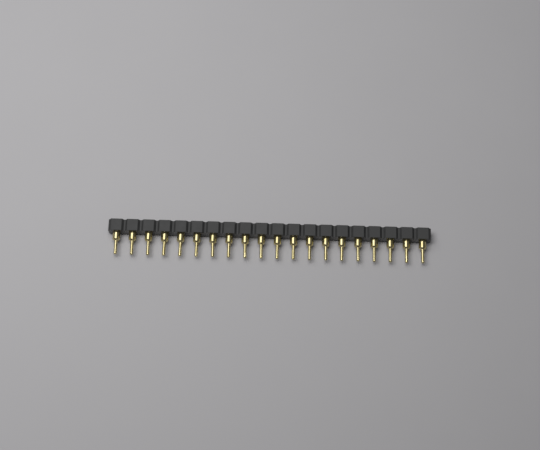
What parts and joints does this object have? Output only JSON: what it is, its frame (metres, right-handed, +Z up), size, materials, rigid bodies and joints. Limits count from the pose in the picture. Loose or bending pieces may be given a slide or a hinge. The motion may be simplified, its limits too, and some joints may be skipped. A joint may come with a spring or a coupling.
{
  "type": "female pin header",
  "caption": "Single-row female pin header: turned round sockets with spring clips and solder tails in a notched black strip that snaps between cells.",
  "frame": {"origin": "under the middle of the whole part's bounding box, on the surface it lies on", "axes": "+X along the strip, +Y out of the socket mouths, so the solder tails point to -Y, and +Z up from the long side it lies on"},
  "size_m": [0.0508, 0.0056, 0.0023],
  "materials": {
    "housing_plastic": "moulded black thermoplastic with a fine satin grain",
    "sleeve_gold": "turned brass with a bright pale gold plating",
    "clip_gold": "formed spring alloy with a gold plating"
  },
  "bodies": {
    "root": {"housing": "housing_plastic", "sleeve_01": "sleeve_gold", "sleeve_02": "sleeve_gold", "sleeve_03": "sleeve_gold", "sleeve_04": "sleeve_gold", "sleeve_05": "sleeve_gold", "sleeve_06": "sleeve_gold", "sleeve_07": "sleeve_gold", "sleeve_08": "sleeve_gold", "sleeve_09": "sleeve_gold", "sleeve_10": "sleeve_gold", "sleeve_11": "sleeve_gold", "sleeve_12": "sleeve_gold", "sleeve_13": "sleeve_gold", "sleeve_14": "sleeve_gold", "sleeve_15": "sleeve_gold", "sleeve_16": "sleeve_gold", "sleeve_17": "sleeve_gold", "sleeve_18": "sleeve_gold", "sleeve_19": "sleeve_gold", "sleeve_20": "sleeve_gold", "clip_01": "clip_gold", "clip_02": "clip_gold", "clip_03": "clip_gold", "clip_04": "clip_gold", "clip_05": "clip_gold", "clip_06": "clip_gold", "clip_07": "clip_gold", "clip_08": "clip_gold", "clip_09": "clip_gold", "clip_10": "clip_gold", "clip_11": "clip_gold", "clip_12": "clip_gold", "clip_13": "clip_gold", "clip_14": "clip_gold", "clip_15": "clip_gold", "clip_16": "clip_gold", "clip_17": "clip_gold", "clip_18": "clip_gold", "clip_19": "clip_gold", "clip_20": "clip_gold"}
  },
  "joints": []
}
